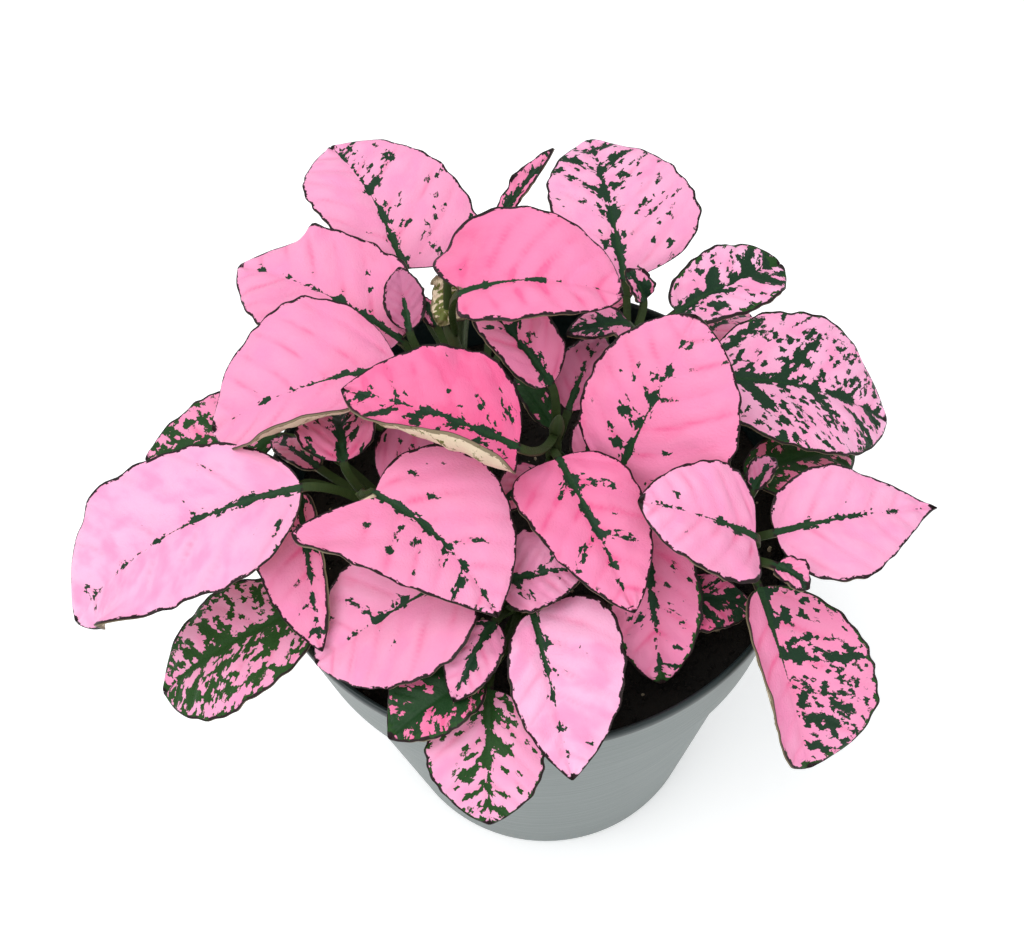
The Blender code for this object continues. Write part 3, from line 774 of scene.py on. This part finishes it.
def blade_line(on, at, base, tip, arch, sway, roll, t):
    """The midrib from the shoot at t = -1 to the tip at 1: its points, its direction, the way the
    blade faces, and the blade's length."""
    base = np.array(base, float)
    tip = np.array(tip, float)
    chord = tip - base
    ahead = unit(chord)
    level = unit(np.array((0, 0, 1)) - ahead * ahead[2])
    facing = level * math.cos(math.radians(roll)) + np.cross(ahead, level) * math.sin(math.radians(roll))
    bow = (facing * arch + np.cross(ahead, facing) * sway) * 4
    start = stem_at(on, at)
    outward = unit(np.array((base[0] - start[0], base[1] - start[1], 0)))
    start = start + outward * STEM_RADIUS * 0.6
    bend = base - unit(chord + bow) * np.linalg.norm(base - start) * PETIOLE_SPRING
    q = np.clip(t + 1, 0, 1)[:, None]
    s = np.clip(t, 0, 1)[:, None]
    stalk = start * (1 - q) ** 2 + bend * 2 * q * (1 - q) + base * q ** 2
    stalk_slope = unit((bend - start) * (1 - q) + (base - bend) * q)
    blade = base + chord * s + bow * s * (1 - s)
    blade_slope = unit(chord + bow * (1 - 2 * s))
    on_blade = t[:, None] >= 0
    slope = np.where(on_blade, blade_slope, stalk_slope)
    normal = unit(facing - slope * (slope @ facing)[:, None])
    return np.where(on_blade, blade, stalk), slope, normal, np.linalg.norm(chord)


def join(left, right):
    """The two halves of a blade side by side, sharing the column on the midrib."""
    return np.concatenate((left[:, :0:-1], right), axis=1)


def grow_leaf(name, look, seed, on, at, base, tip, half, arch=2, sway=0, roll=0, cup=10, curl=(-10, -10),
              belly=(0.4, 0.4), lobe=(0, 0), green=(0.4, 0.4), depth=0.5, dusk=0, fresh=0.2, edging=0,
              blunt=0.3, wave=0.7, tuck=None, crease=((), ())):
    """One leaf as a closed mesh, with its veins, margin and colouring written on its points."""
    # Stations from t = -1 on the shoot to 1 at the tip, crowded near the blade's base and tip.
    chance = np.random.default_rng(seed)
    even = np.linspace(0, 1, BLADE_STATIONS)
    crowded = even - 0.11 * np.sin(math.tau * even)
    t = np.concatenate((np.linspace(-1, 0, PETIOLE_STATIONS, endpoint=False), crowded))
    spine, slope, normal, length = blade_line(on, at, base, tip, arch, sway, roll, t)
    sideways = np.cross(slope, normal)
    from_midrib = np.sin(np.linspace(0, math.pi / 2, HALF_COLUMNS + 1))
    steps = np.diff(from_midrib, prepend=0)[None, :]
    edge = PETIOLE_HALF_WIDTH + (TIP_HALF_WIDTH - PETIOLE_HALF_WIDTH) * np.clip(t, 0, 1)
    swells = [outline(t, widest, blunt) for widest in belly]
    t_row = t[:, None]
    along = np.clip(t_row, 0, 1)
    skins = []
    fields = []
    for side in (0, 1):
        # The half's width, then its section: cupped, curled, creased, tucked and waved.
        v = from_midrib[None, :]
        swell = swells[side][:, None]
        ragged = 1 + 0.012 * np.sin(t * 61 + seed + side) + 0.010 * np.sin(t * 37 + 2 * seed)
        width = (edge + (half[side] - edge) * swells[side]) * np.where(t > 0, ragged, 1)
        if tuck and tuck[0] == side:
            width = width + tuck[4] * np.exp(-((t - tuck[1]) / tuck[2]) ** 2) * np.clip(t * 20, 0, 1)
        rise = 0
        lean = cup * np.minimum(*swells)[:, None] + curl[side] * swell * v ** 2
        for where, height, reach_along in crease[side]:
            rise = rise + height * np.exp(-((t_row - where) / reach_along) ** 2) * v ** 2.5
        if tuck and tuck[0] == side:
            lean = lean + tuck[3] * np.exp(-((t_row - tuck[1]) / tuck[2]) ** 2) * v ** 1.5
        lean = np.radians(lean)
        out = np.cumsum(np.cos(lean) * steps, axis=1) * width[:, None] * (1 if side else -1)
        up = np.cumsum(np.sin(lean) * steps, axis=1) * width[:, None]
        phase = chance.uniform(0, math.tau, 4)
        ripple = np.sin(t * 15 + phase[0]) + 0.6 * np.sin(t * 29 + phase[1])
        up = up + rise + wave * 0.55 * (ripple * swells[side])[:, None] * v ** 3.2
        up = up + 0.35 * wave * swell * np.sin(t_row * 9 + v * 4 + phase[2]) * v
        setback = lobe[side] * v ** 2 * swell * (1 - along) ** 2
        skin = spine[:, None] + sideways[:, None] * out[..., None] + normal[:, None] * up[..., None]
        skin = skin - slope[:, None] * setback[..., None]
        # Side veins slant towards the tip. The green follows each of them for its own length.
        across = np.broadcast_to(v, out.shape) * width[:, None]
        spread = np.minimum(across / half[side], 1)
        sweep_t = t_row - VEIN_SLANT * half[side] / length * spread ** 1.25
        to_vein = np.abs((sweep_t / VEIN_STEP + 0.5) % 1 - 0.5) * VEIN_STEP * length * VEIN_SQUARE
        which = np.clip(np.round(sweep_t / VEIN_STEP).astype(int) + BRANCHES // 2, 0, BRANCHES - 1)
        strength = chance.uniform(0.2, 1.0, BRANCHES)[which]
        reach = chance.uniform(0.25, 0.95, BRANCHES)[which]
        branch = np.exp(-(to_vein / BRANCH_WIDTH) ** 2) * strength * np.clip((reach - spread) * 4, 0, 1)
        margin = np.minimum((1 - v) * width[:, None], (1 - t_row) * length * 0.5)
        skins.append(skin)
        fields.append((across, sweep_t, margin, np.broadcast_to(v, out.shape), to_vein, branch))
    top = join(*skins)
    across, sweep_t, margin, v, to_vein, branch = (join(*pair) for pair in zip(*fields))
    # The blade puffs up between its veins and is sunk along them.
    blade = np.clip(t_row * 12, 0, 1)
    uneven = 1 + 0.6 * np.sin(t_row * 23 + seed) * np.sin(v * 7 + seed * 2.3)
    vein = np.exp(-(to_vein / VEIN_WIDTH) ** 2) * np.clip(1 - v ** 2 * 0.8, 0, 1) * blade
    midrib = np.exp(-(across / (0.95 - 0.6 * along)) ** 2)
    between_veins = np.sqrt(np.clip(to_vein / (VEIN_STEP * length * VEIN_SQUARE / 2), 0, 1))
    puff = between_veins * np.clip(v * 3, 0, 1) * (1 - v ** 4)
    relief = (0.45 * puff * uneven - 0.08 * vein - 0.38 * midrib * (1 - 0.6 * along)) * blade
    relief *= min(1, half[0] / 9)
    along_way = np.gradient(top, axis=0)
    across_way = np.gradient(top, axis=1)
    face = unit(np.cross(across_way, along_way) + 1e-12)
    top = top + face * relief[..., None]
    # The underside: thickest at the midrib, thin at the margin, and nearly round on the petiole.
    stalk = np.clip(-t_row, 0, 1) ** 0.3
    body = BLADE_THICKNESS + 0.75 * midrib * (1 - 0.75 * along) + 0.12 * vein
    round_stalk = PETIOLE_THICKNESS * np.sqrt(np.clip(1 - (v * 0.93) ** 2, 0, 1))
    thickness = body * (1 - stalk) + round_stalk * stalk
    thickness = np.where(v > 0.999, np.minimum(thickness, MARGIN_THICKNESS), thickness)
    bottom = top - face * thickness[..., None]
    rows, columns = top.shape[:2]
    count = rows * columns
    points = np.concatenate((top.reshape(-1, 3), bottom.reshape(-1, 3)))
    number = np.arange(count).reshape(rows, columns)
    quads = np.stack((number[:-1, :-1], number[:-1, 1:], number[1:, 1:], number[1:, :-1]), axis=-1)
    quads = quads.reshape(-1, 4)
    under = quads[:, ::-1] + count
    loop = np.concatenate((number[:-1, 0], number[-1, :-1], number[:0:-1, -1], number[0, :0:-1]))
    after = np.roll(loop, -1)
    band = np.stack((loop, after, after + count, loop + count), axis=-1)
    faces = np.concatenate((quads, under, band)).tolist()
    made = new_object(name + "_blade", points, faces, look)
    # The markings' map, in centimetres on the blade. Its seed gives each leaf its own part of it.
    side_sign = np.sign(np.arange(columns) - columns // 2)[None, :]
    lengthwise = t_row * (1 - GRAIN_SWEEP) + sweep_t * GRAIN_SWEEP
    uv = np.stack((lengthwise * length / MM_PER_CM + seed * 3.7,
                   across * side_sign / MM_PER_CM + seed * 1.9), axis=-1).reshape(-1, 2)
    uv = np.concatenate((uv, uv + UNDERSIDE_SHIFT))
    layer = made.data.uv_layers.new(name="veins")
    corners = np.empty(len(made.data.loops), dtype=np.int32)
    made.data.loops.foreach_get("vertex_index", corners)
    layer.data.foreach_set("uv", uv[corners].ravel())
    written = {
        "vein": vein,
        # Where the pink is deepened as painted shade, in the creases along the veins.
        "hollow_shade": (1 - puff) * blade,
        "branch": branch * blade,
        "midrib": midrib,
        "margin": margin,
        "stalk": stalk,
        "green": join(*[np.full(skins[side].shape[:2], green[side]) for side in (0, 1)]),
        "edging": edging,
        "dusk": dusk,
        "depth": depth,
        "fresh": fresh,
        "along": along,
    }
    for label, values in written.items():
        both = np.tile(np.broadcast_to(values, v.shape).ravel(), 2)
        made.data.attributes.new(label, "FLOAT", "POINT").data.foreach_set("value", both)
    below = np.concatenate((np.zeros(count), np.ones(count)))
    made.data.attributes.new("below", "FLOAT", "POINT").data.foreach_set("value", below)
    return made


leaf = Finish("polka_leaf", Specular_IOR_Level=0.2)
veins_map = leaf.node("ShaderNodeUVMap", {"uv_map": "veins"})
grain_map = leaf.stretch(veins_map, (1.0, 0.85, 1.0))
vein = leaf.attribute("vein")
branch = leaf.attribute("branch")
midrib = leaf.attribute("midrib")
margin = leaf.attribute("margin")
stalk = leaf.attribute("stalk")
green = leaf.attribute("green")
depth = leaf.attribute("depth")
fresh = leaf.attribute("fresh")
edging = leaf.attribute("edging")
dusk = leaf.attribute("dusk")
along = leaf.attribute("along")
below = leaf.attribute("below")
hollow_shade = leaf.attribute("hollow_shade")

# Small wavered cells, each of one tone, so that the markings are flecks with ragged edges.
# "broad" and "mid" gather the flecks, "fine" roughens them and "soft" shades the ground.
fine = leaf.noise(grain_map, 28.0, 2, 0.6)
waver = leaf.node("ShaderNodeTexNoise", None, {"Vector": grain_map, "Scale": 20.0, "Detail": 1.0}, out=1)
wavered_map = leaf.node("ShaderNodeVectorMath", {"operation": "MULTIPLY_ADD"},
                        {0: waver, 1: (0.09, 0.09, 0.0), 2: grain_map})
flecked = {"feature": "F1"}, {"Vector": wavered_map, "Scale": 13.0}
cell_tone = leaf.node("ShaderNodeTexVoronoi", *flecked, out=1)
cell = leaf.node("ShaderNodeSeparateColor", None, {0: cell_tone})
cell_place = leaf.node("ShaderNodeTexVoronoi", *flecked, out=2)
broad = leaf.noise(cell_place, 2.4, 1, 0.5)
mid = leaf.noise(cell_place, 5.5, 2, 0.6)
soft = leaf.noise(grain_map, 2.0, 2, 0.5)

# Dark green: blotches round the veins, specks, the line of the midrib and the edging.
rib = midrib * (1.3 - along)
field = branch * 0.46 + rib * 0.60 + green * 0.76 + (cell - 0.5) * 0.30
field = field + (broad - 0.5) * 0.7 + (mid - 0.5) * (0.9 + green) + (fine - 0.5) * 0.12
blotch = field.between(0.70, 0.73)
specks = (cell * 0.6 + (mid - 0.5) * 0.6 + green * 0.10 - margin * 0.03).between(0.68, 0.71)
spine_line = (midrib * (1.35 - along) + (fine - 0.5) * 0.3).between(0.80, 0.90)
green_edge = (edging * (0.75 + (mid - 0.5) * 5.0) - margin).between(-0.02, 0.06)
dark = blotch.most(specks).most(green_edge).most(spine_line)

# Pink between the markings, deeper near the petiole and over the sunken veins. The deeper pink is
# partly painted shade: in the creases along the veins, towards the base of the blade, and on leaves
# whose depth is set for the shade they sit in; the swellings between the veins stay paler as painted light.
pale_pink = leaf.blend(soft.between(0.3, 0.7), (0.92, 0.32, 0.55), (0.94, 0.50, 0.72))
deep_pink = leaf.blend(soft, (0.76, 0.08, 0.23), (0.86, 0.16, 0.35))
# Veins are deeper pink in their own tone; the creases beside them carry painted shade.
vein_tone_and_crease_shade = (vein * 0.30 + hollow_shade * 0.12) * soft.between(0.35, 0.65)
# The pink deepens with the leaf's depth and towards its base, partly as painted shade.
blush = depth * 0.75 + (1 - along) * 0.25 + vein_tone_and_crease_shade + (soft - 0.5) * 0.9 - 0.03
pink = leaf.blend(blush, pale_pink, deep_pink)
pink = leaf.blend(dusk * 0.8, pink, (0.42, 0.13, 0.24))

# The upper face: green over pink, cool or fresh, with a thin dark hem.
cool_green = leaf.blend(fine, (0.003, 0.016, 0.010), (0.008, 0.036, 0.021))
bright_green = leaf.blend(fine, (0.008, 0.042, 0.005), (0.026, 0.100, 0.012))
leaf_green = leaf.blend(fresh.most(spine_line * 0.4).most(green_edge * 0.8), cool_green, bright_green)
upper = leaf.blend(dark, pink, leaf_green)
hem = 1 - (margin + (cell - 0.5) * 0.35 + (mid - 0.5) * 0.9).between(0.38, 0.52)
upper = leaf.blend(hem, upper, (0.016, 0.007, 0.008))

# The underside: cream with a net of olive veins. The petiole is plain dark green.
cream = leaf.blend(soft, (0.62, 0.50, 0.34), (0.78, 0.64, 0.48))
net = leaf.node("ShaderNodeTexVoronoi", {"feature": "DISTANCE_TO_EDGE"},
                {"Vector": wavered_map, "Scale": 4.0})
under_veins = vein + branch * 0.5 + (mid - 0.5) * 2.0 + fine - net * 3.0
cream = leaf.blend(under_veins.between(0.5, 0.85), cream, (0.12, 0.14, 0.03))
lower_skin = leaf.blend(hem * 0.8, cream, (0.12, 0.09, 0.04))
skin = leaf.blend(below, upper, lower_skin)
petiole_green = leaf.blend(soft, (0.014, 0.032, 0.006), (0.040, 0.066, 0.014))
leaf.set(
    Base_Color=leaf.blend(stalk.between(0.15, 0.6), skin, petiole_green),
    Roughness=0.46 + (soft - 0.5) * 0.16 + dark * 0.06,
)
coarse = leaf.noise(grain_map, 8.5, 2, 0.6)
leaf.relief(fine * 0.5 + coarse * 0.5, 0.5, 0.0004)

for seed, (name, row) in enumerate(LEAVES.items(), 1):
    blade = grow_leaf(name, leaf.material, seed, **row, **LOOKS.get(name, {}))
    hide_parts(name)
    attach(blade, "root")

# Rolled lobes. Where a leaf is heart-shaped, its lobe can roll right round beside the
# petiole, so that its cream underside faces out. Each is a short blade turned over.
FIRST_LOBE_SEED = 71
ROLLED_LOBES = {
    "top_centre_lobe": dict(
        on="stem_left_rear", at=136, base=(-11.2, 16.7, 144.0), tip=(-14.0, 12.6, 137.0), half=(5, 4.5),
        arch=2, cup=25, roll=180, belly=(0.35, 0.35)),
}
for seed, (name, row) in enumerate(ROLLED_LOBES.items(), FIRST_LOBE_SEED):
    blade = grow_leaf(name, leaf.material, seed, blunt=0.6, wave=1.5, **row)
    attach(blade, "root")
